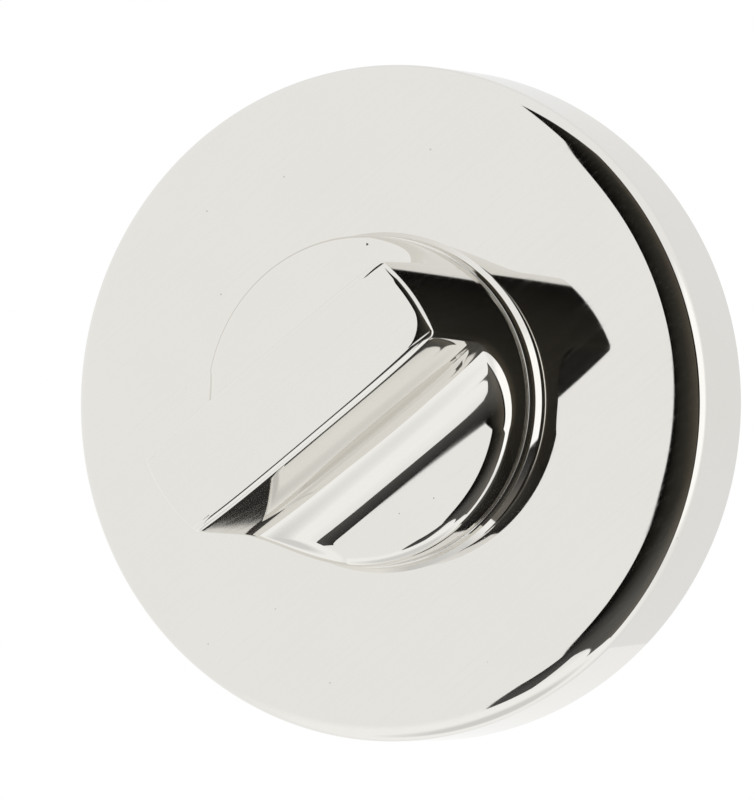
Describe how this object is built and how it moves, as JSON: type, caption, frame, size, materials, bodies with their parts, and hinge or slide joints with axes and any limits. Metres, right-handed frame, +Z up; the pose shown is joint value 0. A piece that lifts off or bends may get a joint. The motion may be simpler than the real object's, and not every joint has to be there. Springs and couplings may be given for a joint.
{
  "type": "bathroom thumb turn lock",
  "caption": "Round polished door rose with a one-piece thumb turn whose raised grip bar turns a square spindle to lock and unlock a bathroom door.",
  "frame": {"origin": "centre of the rose on the door's face, midway between the two bolt-through holes", "axes": "+Z up, +Y into the door along the spindle, the turn faces -Y"},
  "size_m": [0.052, 0.0729, 0.052],
  "materials": {
    "polished_nickel": "mirror polished nickel plate",
    "cast_zinc": "as-cast zinc alloy, dull grey",
    "nylon": "natural nylon",
    "spring_steel": "blackened spring steel",
    "plated_steel": "bright zinc plate"
  },
  "bodies": {
    "rose": {"cover_rose": "polished_nickel", "mounting_plate": "cast_zinc", "bearing_bush": "nylon", "glide_washer": "nylon", "wood_screws": "plated_steel"},
    "turn": {"thumb_turn": "polished_nickel", "spindle": "plated_steel", "spindle_pin": "plated_steel", "stop_washer": "plated_steel", "spring_washer": "spring_steel", "circlip": "spring_steel"}
  },
  "joints": [
    {"name": "turn_hinge", "type": "hinge", "parent": "rose", "child": "turn", "pos_m": [0, 0, 0], "axis": [0, -1, 0], "range_deg": [-37.5, 52.5]}
  ]
}
